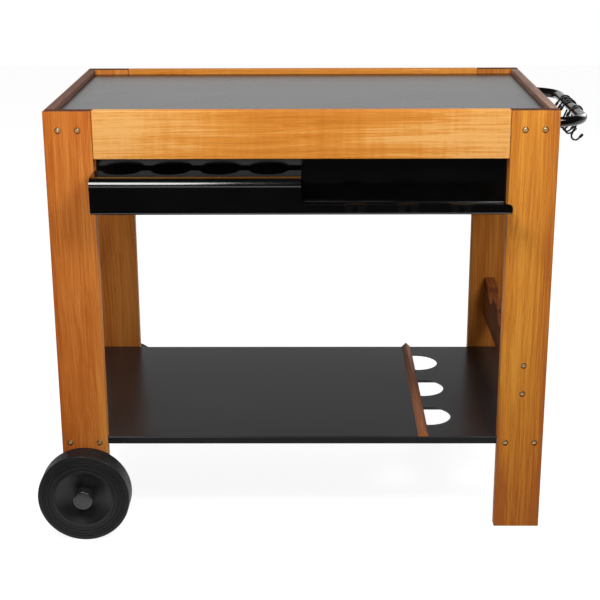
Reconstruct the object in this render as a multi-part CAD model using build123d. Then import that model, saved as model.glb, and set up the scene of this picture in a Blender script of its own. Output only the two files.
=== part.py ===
from build123d import *
import os
from math import asin, atan2, cos, degrees, hypot, radians, sin, sqrt

# A wooden griddle cart: four plank legs under a black sheet-steel top, a steel shelf,
# a bent-steel front tray, two wheels on the left, a tube handle with hooks on the right.
# Millimetres. X runs to the right, Y to the back, Z up. Ground level is Z = 0.
# The pieces are drawn with X = 0 at mid length and Y = 0 at the front face of the legs.
# They are shifted together at the end, to put the origin at the bottom centre.

# Carcass
carcass_length = 1040.0
carcass_depth = 610.0
carcass_height = 922.0

# Boards
leg_width = 98.0
leg_thickness = 26.0
left_leg_rise = 60.0
rail_height = 98.0
front_rail_thickness = 26.0
back_rail_thickness = 25.0
strip_width = 18.0
strip_height = 26.5
top_bearer_thickness = 26.0
mid_bearer_width = 80.0
shelf_bearer_thickness = 22.0
board_round = 1.6
rail_joint_gap = 0.8
end_chamfer = 0.9

# Top panel, a shallow pan turned upside down
panel_recess = 10.5
panel_sheet = 1.5
panel_gap = 1.0
panel_round = 2.4
stiffener_width = 34.0
stiffener_sheet = 1.2
panel_stiffener_pitch = 250.0

# Lower shelf
shelf_level = 212.0
shelf_sheet = 1.5
shelf_front_inset = 5.0
shelf_gap = 1.0
shelf_flange = 16.0
shelf_bend = 3.0
shelf_stiffener_depth = 12.0

# Bottle holder: holes in the shelf, a stop batten beside them and a notched rack
bottle_pitch = 171.0
bottle_shift = 12.0
bottle_hole_radius = 51.5
bottle_hole_x = 280.5
bottle_hole_corner = 3.0
batten_width = 22.0
batten_x = 263.0
batten_nose = 1.0
batten_end_gap = 1.5
rack_thickness = 26.0
rack_bottom = 300.0
rack_height = 97.0
notch_width = 96.0
notch_depth = 30.0
notch_shoulder = 14.0

# Front tray, bent from one sheet
tray_sheet = 1.5
tray_side_gap = 1.0
tray_drop = 99.0
tray_reach = 75.0
tray_lean = 6.0
tray_front_bend = 10.0
tray_back_bend = 5.0
tray_roll = 11.0
tray_front_height = 76.0
tray_flange_depth = 80.0
tray_lip_height = 23.0
tray_back_rise = 38.0
tray_step_corner = 10.0
tray_end_corner = 9.0
bite_count = 4
bite_pitch = 99.5
bite_first = 56.0
bite_radius = 38.0
bite_centre_inset = 1.0
bite_shoulder = 8.0

# Ears on the low lip that hold utensils
ear_count = 3
ear_width = 41.0
ear_length = 15.0
ear_slope = 20.0
ear_bend = 3.0
ear_shift = 2.5
ear_slot = 5.5
ear_slot_mouth = 13.0
ear_taper = 3.0
relief_width = 1.8
relief_depth = 3.0

# Furniture bolts and barrel nuts
bolt_diameter = 6.0
bolt_head_diameter = 10.0
bolt_head_height = 4.6
bolt_head_rim = 3.2
bolt_socket = 4.0
bolt_socket_depth = 2.6
bolt_tip = 8.0
counterbore_diameter = 13.2
counterbore_depth = 6.4
bolt_hole_clearance = 0.5
nut_set_back = 30.0
nut_diameter = 10.0
nut_length = 16.0
nut_slot_width = 1.4
nut_slot_depth = 1.6
top_bolt_pitch = 40.0
shelf_bolt_pitch = 63.0
rack_bolt_pitch = 64.0
rack_bolt_rise = 13.0
snug_fit = 0.05

# Dowels and screws
dowel_diameter = 8.0
dowel_length = 40.0
dowel_pitch = 56.0
dowel_chamfer = 0.8
screw_diameter = 4.0
screw_head_diameter = 8.0
screw_head_height = 2.4
screw_head_rim = 0.9
screw_tip = 4.0
screw_recess = 4.4
screw_recess_slot = 0.9
screw_recess_depth = 1.1
tray_screw_length = 16.0
tray_screw_count = 4
tray_screw_inset = 60.0
tray_screw_drop = 14.0
strip_screw_length = 38.0
strip_screw_count = 3
strip_screw_inset = 50.0
batten_screw_length = 9.0
batten_screw_count = 3
batten_screw_inset = 46.0

# Corner brackets between the rails and the top bearers
bracket_leg = 40.0
bracket_height = 18.0
bracket_sheet = 2.0
bracket_round = 3.0
bracket_screw_length = 15.0
bracket_screw_inset = 9.0
bracket_screw_pitch = 16.0

# Weld studs and flange nuts that hold the panel and the shelf down
stud_diameter = 6.0
stud_inset = 130.0
stud_tail = 4.5
stud_hole_clearance = 0.5
stud_nut_across = 10.0
stud_nut_height = 6.0
stud_flange_diameter = 14.0
stud_flange_height = 1.4

# Wheels, tyre on hub, on one through axle
wheel_diameter = 197.0
wheel_inset = 2.0
tyre_width = 50.0
tyre_gap = 16.0
tyre_shoulder = 4.0
tyre_seat_radius = 65.5
tyre_groove_radii = (76.0, 82.5, 88.0)
tyre_groove = 1.1
tread_groove_steps = (-12.0, 0.0, 12.0)
tread_groove = 1.3
rim_wall = 5.0
rim_proud = 1.4
dish_wall = 4.0
dish_hub_depth = 17.0
dish_swell = 3.2
sleeve_radius = 15.5
wheel_rib_count = 8
wheel_rib_width = 3.0
axle_diameter = 12.0
axle_running_fit = 0.06
axle_chamfer = 1.0
washer_diameter = 26.0
washer_thickness = 1.7
wheel_end_play = 0.3
clip_diameter = 22.0
clip_thickness = 1.6
clip_set_back = 1.6
cap_diameter = 42.0
cap_wall = 2.2
cap_skirt = 15.0
cap_air = 4.0
cap_round = 3.4
cap_ring_diameter = 31.0
cap_ring_depth = 0.6
cap_ring_width = 1.4

# Handle tube with its fixings
tube_diameter = 21.0
tube_wall = 2.0
handle_reach = 75.5
handle_inset = 78.0
handle_bend = 66.0
plug_length = 9.0
plug_chamfer = 1.0
hanger_diameter = 8.0
hanger_in_tube = 22.0
hanger_in_wood = 46.0

# Hooks on the handle
hook_wire = 4.0
hook_play = 0.35
hook_mouth_radius = 9.0
hook_drop = 53.0
hook_eye_angle = 148.0
hook_mouth_angle = 315.0
hook_eye_tip = 18.0
hook_mouth_tip = 12.0
hook_sleeve_diameter = 6.2
hook_sleeve_length = 10.0
hook_sleeve_cover = 8.0
hook_places = (124.0, 199.0, 225.0, 261.0)

overrun = 20.0

# Levels and faces worked out from the sizes above
half_length = carcass_length / 2
leg_inner_x = half_length - leg_width
leg_mid_x = half_length - leg_width / 2
front_inner_y = leg_thickness
back_inner_y = carcass_depth - leg_thickness
back_rail_y = carcass_depth - back_rail_thickness
mid_y = carcass_depth / 2
bearer_top = carcass_height - strip_height
bearer_bottom = bearer_top - top_bearer_thickness
bearer_mid = bearer_top - top_bearer_thickness / 2
rail_end_x = leg_inner_x - rail_joint_gap
strip_inner_x = half_length - strip_width
rail_bottom = carcass_height - rail_height
panel_top = carcass_height - panel_recess
panel_under = panel_top - panel_sheet
shelf_under = shelf_level - shelf_sheet
shelf_bearer_bottom = shelf_under - shelf_bearer_thickness
shelf_bearer_mid = shelf_under - shelf_bearer_thickness / 2
shelf_front_y = shelf_front_inset
shelf_back_y = back_inner_y - shelf_gap
bottle_ys = [mid_y - bottle_shift + i * bottle_pitch for i in (-1, 0, 1)]
rack_top = rack_bottom + rack_height
tray_half = leg_inner_x - tray_side_gap
tray_bottom = rail_bottom - tray_drop
tray_flange_level = tray_bottom + tray_front_height
tray_lip_level = tray_bottom + tray_lip_height
tray_back_y = front_rail_thickness + tray_sheet
tray_back_top = rail_bottom + tray_back_rise
tray_flange_y = tray_flange_depth - tray_reach - tray_lean
wheel_radius = wheel_diameter / 2
wheel_x = wheel_inset - leg_mid_x
tube_radius = tube_diameter / 2
handle_level = bearer_bottom + tube_radius
bar_x = half_length + handle_reach
bar_front_y = front_inner_y + handle_inset
bar_back_y = back_inner_y - handle_inset

# Turns of a piece drawn with its outward side on +Z
to_front = Rot(90, 0, 0)
to_back = Rot(-90, 0, 0)
to_right = Rot(0, 90, 0)
to_left = Rot(0, -90, 0)
to_ground = Rot(180, 0, 0)


def block(x_low, x_high, y_low, y_high, z_low, z_high):
    """A plain square block between two corners."""
    middle = Pos((x_low + x_high) / 2, (y_low + y_high) / 2, (z_low + z_high) / 2)
    return middle * Box(x_high - x_low, y_high - y_low, z_high - z_low)


def board(x_low, x_high, y_low, y_high, z_low, z_high, grain):
    """A planed board: long edges rounded along the grain, ends lightly chamfered."""
    body = block(x_low, x_high, y_low, y_high, z_low, z_high)
    body = fillet(body.edges().filter_by(grain), board_round)
    ends = body.faces().filter_by(grain)
    return chamfer(ends.edges(), end_chamfer)


def rod(diameter, z_low, z_high):
    """A round bar on the Z axis."""
    return Pos(0, 0, z_low) * extrude(Circle(diameter / 2), z_high - z_low)


def spread(low, high, count):
    """Evenly spaced places from low to high."""
    return [low + (high - low) * i / (count - 1) for i in range(count)]


def corner(sketch, x, y):
    """The vertex of a flat sketch that lies nearest to a point."""
    return min(sketch.vertices(), key=lambda v: hypot(v.X - x, v.Y - y))


def bent_sheet(path, thickness, side, x_low, x_high):
    """Sheet metal of one thickness, folded along a path drawn in Y and Z."""
    section = make_face(offset(path, thickness, side=side, closed=True))
    return Pos(x_low, 0, 0) * extrude(Plane.YZ * section, x_high - x_low)


# Bolted joints
# Each row is a bolt's place in X and Z. The same bolt is used from the front and the back.
top_bolts = [
    (side * (leg_mid_x + end * top_bolt_pitch / 2), bearer_mid)
    for side in (-1, 1)
    for end in (-1, 1)
]
shelf_bolts = [
    (side * (leg_mid_x + end * shelf_bolt_pitch / 2), shelf_bearer_mid)
    for side in (-1, 1)
    for end in (-1, 1)
]
rack_bolts = [(leg_mid_x, rack_bottom + rack_bolt_rise + i * rack_bolt_pitch) for i in range(2)]

bolt_grip = leg_thickness - counterbore_depth
bolt_reach = nut_set_back + nut_diameter / 2 + bolt_tip


def turned_head(diameter, rim, height):
    """A round head that stands on Z = 0, with a straight rim under a domed top."""
    radius = diameter / 2
    rise = height - rim
    ball = (radius**2 + rise**2) / (2 * rise)
    flank = (radius / 2, height - ball + sqrt(ball**2 - radius**2 / 4))
    dome = ThreePointArc((radius, rim), flank, (0, height))
    sides = Polyline((0, height), (0, 0), (radius, 0), (radius, rim))
    return revolve(Plane.XZ * make_face(Curve() + [dome, sides]), Axis.Z)


def bolt():
    """A bolt with a crowned socket head; its seat is at Z = 0 and its shank points down."""
    head = turned_head(bolt_head_diameter, bolt_head_rim, bolt_head_height)
    shank = rod(bolt_diameter, -bolt_grip - bolt_reach, 0)
    socket = extrude(RegularPolygon(bolt_socket / sqrt(3), 6), bolt_socket_depth + overrun)
    return head + shank - Pos(0, 0, bolt_head_height - bolt_socket_depth) * socket


def bolt_hole():
    """The counterbore and clearance hole that a leg has for one bolt."""
    through = rod(bolt_diameter + 2 * bolt_hole_clearance, -leg_thickness - overrun, overrun)
    return through + rod(counterbore_diameter, -counterbore_depth, overrun)


def bolt_bore():
    """The blind bore in the end of a bearer, drilled from Z = 0 downwards."""
    depth = bolt_reach + bolt_hole_clearance
    return rod(bolt_diameter + 2 * bolt_hole_clearance, -depth, overrun)


def barrel_nut(turn):
    """A slotted barrel nut on the Z axis, with its thread hole along Y."""
    body = rod(nut_diameter, -nut_length / 2, nut_length / 2)
    body -= to_front * rod(bolt_diameter + 2 * snug_fit, -nut_diameter, nut_diameter)
    slot = Box(nut_diameter + overrun, nut_slot_width, 2 * nut_slot_depth)
    return turn * (body - Pos(0, 0, -nut_length / 2) * slot)


def nut_pocket(turn, board_half):
    """The blind hole that takes a barrel nut, open on the board's lower side."""
    return turn * rod(nut_diameter + 2 * snug_fit, -board_half - overrun, nut_length / 2 + snug_fit)


upright = Rot(0, 0, 0)
lying = Rot(0, -90, 0)


def bolt_group(places):
    """Bolts from both ends, as separate solids."""
    seat = counterbore_depth
    front = [Pos(x, seat, z) * to_front * bolt() for x, z in places]
    back = [Pos(x, carcass_depth - seat, z) * to_back * bolt() for x, z in places]
    return front + back


def nut_group(places, turn):
    """Barrel nuts for both ends of each bearer, as separate solids."""
    rows = (front_inner_y + nut_set_back, back_inner_y - nut_set_back)
    return [Pos(x, y, z) * barrel_nut(turn) for y in rows for x, z in places]


def bearer_bores(places, turn, board_half):
    """Bolt bores and nut pockets for both ends of a bearer."""
    cuts = []
    for x, z in places:
        cuts.append(Pos(x, front_inner_y, z) * to_front * bolt_bore())
        cuts.append(Pos(x, back_inner_y, z) * to_back * bolt_bore())
        for y in (front_inner_y + nut_set_back, back_inner_y - nut_set_back):
            cuts.append(Pos(x, y, z) * nut_pocket(turn, board_half))
    return cuts


# Dowel joints
dowel_half = dowel_length / 2
dowel_levels = [rail_bottom + rail_height / 2 + s * dowel_pitch / 2 for s in (-1, 1)]
mid_bearer_dowel_xs = [s * mid_bearer_width / 4 for s in (-1, 1)]


def dowel(margin=0):
    """A dowel along Z through Z = 0, or with a margin the hole that it fills."""
    body = rod(dowel_diameter + 2 * margin, -dowel_half - margin, dowel_half + margin)
    if margin:
        return body
    return chamfer(body.edges(), dowel_chamfer)


def rail_dowel_places():
    """Where dowels join rails to legs, and the middle bearer to the rails."""
    rows = []
    for y in (front_rail_thickness / 2, carcass_depth - back_rail_thickness / 2):
        for side in (-1, 1):
            rows += [Pos(side * leg_inner_x, y, z) * to_right for z in dowel_levels]
    for y in (front_rail_thickness, back_rail_y):
        rows += [Pos(x, y, bearer_mid) * to_front for x in mid_bearer_dowel_xs]
    return rows


def dowel_holes():
    return [place * dowel(snug_fit) for place in rail_dowel_places()]


# Legs
axle_hole = Pos(wheel_x, 0, wheel_radius) * to_back
axle_hole = axle_hole * rod(axle_diameter + 2 * snug_fit, -overrun, carcass_depth + overrun)


def leg(side, end, foot):
    """One plank leg; side is -1 on the left and 1 on the right, end is -1 at the front."""
    xs = sorted((side * leg_inner_x, side * half_length))
    ys = (0, leg_thickness) if end < 0 else (back_inner_y, carcass_depth)
    body = board(*xs, *ys, foot, carcass_height, Axis.Z)
    turn = to_front if end < 0 else to_back
    face = 0 if end < 0 else carcass_depth
    places = [p for p in top_bolts + shelf_bolts + rack_bolts if p[0] * side > 0]
    cuts = [Pos(x, face, z) * turn * bolt_hole() for x, z in places]
    if side < 0:
        cuts.append(axle_hole)
    return body - cuts - dowel_holes()


# Rails
tray_screw_xs = spread(-tray_half + tray_screw_inset, tray_half - tray_screw_inset, tray_screw_count)
tray_screw_z = tray_back_top - tray_screw_drop
bracket_screw_steps = (bracket_screw_inset, bracket_screw_inset + bracket_screw_pitch)


def screw(length):
    """A pan-head wood screw with its seat at Z = 0 and its shank pointing down."""
    head = turned_head(screw_head_diameter, screw_head_rim, screw_head_height)
    for wide, deep in ((screw_recess, screw_recess_slot), (screw_recess_slot, screw_recess)):
        head -= Pos(0, 0, screw_head_height) * Box(wide, deep, 2 * screw_recess_depth)
    radius = screw_diameter / 2
    neck = screw_tip - length
    sides = Polyline((0, 0), (radius, 0), (radius, neck), (0, -length), (0, 0))
    return head + revolve(Plane.XZ * make_face(sides), Axis.Z)


def screw_hole(length):
    """The hole that a wood screw fills, from its seat down."""
    return rod(screw_diameter + 2 * snug_fit, -length - snug_fit, overrun)


def bracket_corners():
    """The four inner corners, each as its side and its end."""
    return [(side, end) for side in (-1, 1) for end in (-1, 1)]


def rail_bracket_screws(end):
    """Seats of the bracket screws that go into one rail."""
    face = front_rail_thickness + bracket_sheet if end < 0 else back_rail_y - bracket_sheet
    turn = to_back if end < 0 else to_front
    xs = [side * (leg_inner_x - bracket_leg + step) for side in (-1, 1) for step in bracket_screw_steps]
    return [Pos(x, face, bearer_mid) * turn for x in xs]


def bearer_bracket_screws(side):
    """Seats of the bracket screws that go into one top bearer."""
    turn = to_left if side > 0 else to_right
    face = side * (leg_inner_x - bracket_sheet)
    ys = [front_rail_thickness + bracket_leg - step for step in bracket_screw_steps]
    ys += [back_rail_y - bracket_leg + step for step in bracket_screw_steps]
    return [Pos(face, y, bearer_mid) * turn for y in ys]


def front_rail():
    body = board(
        -rail_end_x, rail_end_x, 0, front_rail_thickness, rail_bottom, carcass_height, Axis.X
    )
    pilot = screw_hole(tray_screw_length)
    cuts = [Pos(x, tray_back_y, tray_screw_z) * to_back * pilot for x in tray_screw_xs]
    cuts += [seat * screw_hole(bracket_screw_length) for seat in rail_bracket_screws(-1)]
    return body - cuts - dowel_holes()


def back_rail():
    body = board(
        -rail_end_x, rail_end_x, back_rail_y, carcass_depth, rail_bottom, carcass_height, Axis.X
    )
    cuts = [seat * screw_hole(bracket_screw_length) for seat in rail_bracket_screws(1)]
    return body - cuts - dowel_holes()


# Top frame
strip_screw_ys = spread(
    front_inner_y + strip_screw_inset, back_inner_y - strip_screw_inset, strip_screw_count
)
stud_ys = (front_inner_y + stud_inset, back_inner_y - stud_inset)
hanger_ys = (bar_front_y, bar_back_y)


def strip_screw_seats(side):
    """Seats under a top bearer, let in flush, for the screws up into the edge strip."""
    x = side * (half_length - strip_width / 2)
    return [Pos(x, y, bearer_bottom + screw_head_height) * to_ground for y in strip_screw_ys]


def top_bearer(side):
    """The flat board between two legs that carries one end of the top."""
    xs = sorted((side * leg_inner_x, side * half_length))
    body = board(*xs, front_inner_y, back_inner_y, bearer_bottom, bearer_top, Axis.Y)
    places = [p for p in top_bolts if p[0] * side > 0]
    cuts = bearer_bores(places, upright, top_bearer_thickness / 2)
    cuts += [seat * screw_hole(bracket_screw_length) for seat in bearer_bracket_screws(side)]
    for seat in strip_screw_seats(side):
        cuts.append(seat * screw_hole(strip_screw_length))
        cuts.append(seat * rod(screw_head_diameter + 2 * snug_fit, 0, overrun))
    hole = stud_diameter + 2 * stud_hole_clearance
    bore = rod(hole, bearer_bottom - overrun, bearer_top + overrun)
    cuts += [Pos(side * leg_mid_x, y, 0) * bore for y in stud_ys]
    if side > 0:
        bore = rod(hanger_diameter + 2 * snug_fit, -hanger_in_wood - snug_fit, overrun)
        cuts += [Pos(half_length, y, handle_level) * to_right * bore for y in hanger_ys]
    return body - cuts


def edge_strip(side):
    """The narrow board on a top bearer that closes one end of the top."""
    xs = sorted((side * strip_inner_x, side * half_length))
    body = board(*xs, front_inner_y, back_inner_y, bearer_top, carcass_height, Axis.Y)
    return body - [seat * screw_hole(strip_screw_length) for seat in strip_screw_seats(side)]


def top_mid_bearer():
    """The cross board under the middle of the top panel."""
    half = mid_bearer_width / 2
    body = board(
        -half, half, front_rail_thickness, back_rail_y, bearer_bottom, bearer_top, Axis.Y
    )
    return body - dowel_holes()


def top_panel():
    """Folded steel top: a flat face with a rim turned down all round."""
    x = strip_inner_x - panel_gap
    y_low = front_rail_thickness + panel_gap
    y_high = back_rail_y - panel_gap
    outer = block(-x, x, y_low, y_high, bearer_top, panel_top)
    rounded = outer.edges().filter_by(Axis.Z) + outer.faces().sort_by(Axis.Z)[-1].edges()
    outer = fillet(rounded, panel_round)
    wall = panel_sheet
    inner = block(-x + wall, x - wall, y_low + wall, y_high - wall, bearer_top - overrun, panel_under)
    return outer - inner


def channel(length, depth, top):
    """A U channel along X, open below, welded up against a sheet."""
    half = stiffener_width / 2
    outer = block(-length / 2, length / 2, -half, half, top - depth, top)
    reach = length / 2 + overrun
    wide = half - stiffener_sheet
    return outer - block(-reach, reach, -wide, wide, top - depth - overrun, top - stiffener_sheet)


def panel_stiffeners():
    """Three channels front to back under the panel; the middle one rests on the middle bearer."""
    inner_low = front_rail_thickness + panel_gap + panel_sheet + panel_gap
    inner_high = back_rail_y - panel_gap - panel_sheet - panel_gap
    depth = panel_under - bearer_top
    bar = Rot(0, 0, 90) * channel(inner_high - inner_low, depth, panel_under)
    middle = (inner_low + inner_high) / 2
    return [Pos(i * panel_stiffener_pitch, middle, 0) * bar for i in (-1, 0, 1)]


def corner_brackets():
    """Four steel angles that tie the rails to the top bearers."""
    out = []
    half = bracket_height / 2
    for side, end in bracket_corners():
        face = front_rail_thickness if end < 0 else back_rail_y
        xs = sorted((side * leg_inner_x, side * (leg_inner_x - bracket_leg)))
        on_rail_y = sorted((face, face - end * bracket_sheet))
        on_rail = block(*xs, *on_rail_y, bearer_mid - half, bearer_mid + half)
        xs = sorted((side * leg_inner_x, side * (leg_inner_x - bracket_sheet)))
        on_bearer_y = sorted((face, face - end * bracket_leg))
        on_bearer = block(*xs, *on_bearer_y, bearer_mid - half, bearer_mid + half)
        free_x = side * (leg_inner_x - bracket_leg)
        free_y = face - end * bracket_leg
        angle = on_rail + on_bearer
        near = bracket_sheet / 2
        across = angle.edges().filter_by(Axis.Y)
        lengthwise = angle.edges().filter_by(Axis.X)
        tips = across.filter_by(lambda e: abs(e.center().X - free_x) < near)
        tips += lengthwise.filter_by(lambda e: abs(e.center().Y - free_y) < near)
        out.append(fillet(tips, bracket_round))
    hole = rod(screw_diameter + 2 * snug_fit, -overrun / 2, overrun / 2)
    seats = [s for end in (-1, 1) for s in rail_bracket_screws(end)]
    seats += [s for side in (-1, 1) for s in bearer_bracket_screws(side)]
    cuts = [seat * hole for seat in seats]
    return [angle - cuts for angle in out]


def bracket_screws():
    seats = [s for end in (-1, 1) for s in rail_bracket_screws(end)]
    seats += [s for side in (-1, 1) for s in bearer_bracket_screws(side)]
    return [seat * screw(bracket_screw_length) for seat in seats]


def strip_screws():
    return [seat * screw(strip_screw_length) for side in (-1, 1) for seat in strip_screw_seats(side)]


def studs(top, bottom):
    """Weld studs that hang from a sheet through the bearers."""
    tail = bottom - stud_flange_height - stud_nut_height - stud_tail
    pin = rod(stud_diameter, tail, top)
    return [Pos(side * leg_mid_x, y, 0) * pin for side in (-1, 1) for y in stud_ys]


def stud_nuts(bottom):
    """Flange nuts drawn up against the underside of the bearers."""
    flange = rod(stud_flange_diameter, bottom - stud_flange_height, bottom)
    low = bottom - stud_flange_height - stud_nut_height
    hexagon = Pos(0, 0, low) * extrude(RegularPolygon(stud_nut_across / sqrt(3), 6), stud_nut_height)
    nut = flange + hexagon - rod(stud_diameter + 2 * snug_fit, low - overrun, bottom + overrun)
    return [Pos(side * leg_mid_x, y, 0) * nut for side in (-1, 1) for y in stud_ys]


# Lower shelf
batten_low_x = batten_x - batten_width / 2
batten_high_x = batten_x + batten_width / 2
batten_front_y = shelf_front_y + batten_end_gap
batten_back_y = shelf_back_y - batten_end_gap
batten_screw_ys = spread(
    batten_front_y + batten_screw_inset, batten_back_y - batten_screw_inset, batten_screw_count
)


def bottle_holes():
    """D-shaped holes, straight along the stop batten, that a bottle's foot drops into."""
    holes = Sketch()
    for y in bottle_ys:
        disc = Pos(bottle_hole_x, y) * Circle(bottle_hole_radius)
        reach = bottle_hole_radius + overrun
        cut = Pos(batten_high_x + shelf_gap - reach, y) * Rectangle(2 * reach, 2 * reach)
        hole = disc - cut
        ends = hole.vertices().group_by(Axis.X)[0]
        holes += fillet(ends, bottle_hole_corner)
    return holes


def lower_shelf():
    """A sheet let in between the legs, with lips turned down at the front and back."""
    side_x = half_length - shelf_gap
    lip_x = leg_inner_x - shelf_gap
    wide_y = front_inner_y + shelf_gap
    plan = Pos(0, (wide_y + shelf_back_y) / 2) * Rectangle(2 * side_x, shelf_back_y - wide_y)
    sheet = Pos(0, 0, shelf_under) * extrude(plan, shelf_sheet)
    path = FilletPolyline(
        (shelf_front_y, shelf_level - shelf_flange),
        (shelf_front_y, shelf_level),
        (shelf_back_y, shelf_level),
        (shelf_back_y, shelf_level - shelf_flange),
        radius=shelf_bend,
    )
    pan = bent_sheet(path, shelf_sheet, Side.RIGHT, -lip_x, lip_x)
    back_edge = block(-lip_x, lip_x, shelf_back_y - shelf_bend, shelf_back_y, shelf_under, shelf_level)
    sheet -= back_edge
    cut = Pos(0, 0, shelf_under - overrun) * extrude(bottle_holes(), shelf_sheet + 2 * overrun)
    screw_cut = rod(screw_diameter + 2 * snug_fit, shelf_under - overrun, shelf_level + overrun)
    cuts = [Pos(batten_x, y, 0) * screw_cut for y in batten_screw_ys]
    return sheet + pan - cut - cuts


def shelf_stiffeners():
    """Two channels along the underside of the shelf, between the bottle holes."""
    bar = channel(2 * (leg_inner_x - shelf_gap), shelf_stiffener_depth, shelf_under)
    return [Pos(0, (a + b) / 2, 0) * bar for a, b in zip(bottle_ys, bottle_ys[1:])]


def shelf_bearer(side):
    """The flat board between two legs that carries one end of the shelf."""
    xs = sorted((side * leg_inner_x, side * half_length))
    body = board(*xs, front_inner_y, back_inner_y, shelf_bearer_bottom, shelf_under, Axis.Y)
    places = [p for p in shelf_bolts if p[0] * side > 0]
    cuts = bearer_bores(places, upright, shelf_bearer_thickness / 2)
    hole = stud_diameter + 2 * stud_hole_clearance
    bore = rod(hole, shelf_bearer_bottom - overrun, shelf_under + overrun)
    cuts += [Pos(side * leg_mid_x, y, 0) * bore for y in stud_ys]
    return body - cuts


# Bottle holder
def bottle_batten():
    """A right-angled triangular batten with a slightly blunted ridge."""
    half = batten_width / 2
    section = make_face(Polyline((-half, 0), (half, 0), (0, half), (-half, 0)))
    section = fillet(corner(section, 0, half), batten_nose)
    bar = extrude(Plane.XZ * section, batten_front_y - batten_back_y)
    bar = Pos(batten_x, batten_front_y, shelf_level) * bar
    hole = screw_hole(batten_screw_length)
    return bar - [Pos(batten_x, y, shelf_under) * to_ground * hole for y in batten_screw_ys]


def batten_screws():
    return [
        Pos(batten_x, y, shelf_under) * to_ground * screw(batten_screw_length) for y in batten_screw_ys
    ]


def bottle_rack():
    """A board on edge whose top has a rounded notch for each leaning bottle."""
    notch_radius = (notch_width**2 / 4 + notch_depth**2) / (2 * notch_depth)
    middle = (front_inner_y + back_inner_y) / 2
    length = back_inner_y - front_inner_y
    face = Pos(middle, rack_bottom + rack_height / 2) * Rectangle(length, rack_height)
    for y in bottle_ys:
        face -= Pos(y, rack_top - notch_depth + notch_radius) * Circle(notch_radius)
    for y in bottle_ys:
        for end in (-1, 1):
            face = fillet(corner(face, y + end * notch_width / 2, rack_top), notch_shoulder)
    low_x = leg_mid_x - rack_thickness / 2
    body = Pos(low_x, 0, 0) * extrude(Plane.YZ * face, rack_thickness)
    sides = body.faces().sort_by(Axis.X)
    body = chamfer(sides[0].edges() + sides[-1].edges(), end_chamfer)
    return body - bearer_bores(rack_bolts, lying, rack_thickness / 2)


# Front tray
tray_slope = atan2(tray_lean, tray_flange_level - tray_bottom)
lip_y = -tray_reach - tray_lean * (tray_lip_level - tray_bottom) / (tray_flange_level - tray_bottom)
bite_xs = [-tray_half + bite_first + i * bite_pitch for i in range(bite_count)]
ear_xs = [tray_half * (i + 1) / (ear_count + 1) + ear_shift for i in range(ear_count)]


def tray_channel():
    """The full bent section: back wall, floor, leaning front, rolled edge and top flange."""
    path = FilletPolyline(
        (tray_back_y, tray_back_top),
        (tray_back_y, tray_bottom),
        (-tray_reach, tray_bottom),
        (-tray_reach - tray_lean, tray_flange_level),
        (tray_flange_y + tray_sheet, tray_flange_level),
        radius=[tray_back_bend, tray_front_bend, tray_roll],
    )
    return bent_sheet(path, tray_sheet, Side.LEFT, -tray_half, tray_half)


def tray_step():
    """What is cut from the front of the right half, to leave the low lip."""
    high = tray_flange_level + overrun
    past = tray_half + overrun
    fall = tray_lip_level - tray_end_corner - tray_sheet
    outline = make_face(
        Polyline(
            (0, high),
            (0, tray_lip_level),
            (tray_half, tray_lip_level),
            (tray_half, fall),
            (past, fall),
            (past, high),
            (0, high),
        )
    )
    outline = fillet(corner(outline, 0, tray_lip_level), tray_step_corner)
    outline = fillet(corner(outline, tray_half, tray_lip_level), tray_end_corner)
    depth = tray_reach + tray_lean + tray_flange_y + 2 * tray_sheet
    return Pos(0, tray_flange_y + 2 * tray_sheet, 0) * extrude(Plane.XZ * outline, depth + overrun)


def tray_bites():
    """Round bites out of the rear edge of the top flange, one for each condiment pot."""
    back = Pos(-tray_half / 2, tray_flange_y + overrun / 2) * Rectangle(tray_half + overrun, overrun)
    cut = back
    for x in bite_xs:
        cut += Pos(x, tray_flange_y - bite_centre_inset) * Circle(bite_radius)
    half_mouth = sqrt(bite_radius**2 - bite_centre_inset**2)
    for x in bite_xs:
        for end in (-1, 1):
            cut = fillet(corner(cut, x + end * half_mouth, tray_flange_y), bite_shoulder)
    cut &= Pos(-tray_half / 2, -bite_radius) * Rectangle(tray_half + overrun, 2 * bite_radius + overrun)
    return Pos(0, 0, tray_flange_level - 2 * tray_sheet) * extrude(cut, 4 * tray_sheet)


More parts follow.
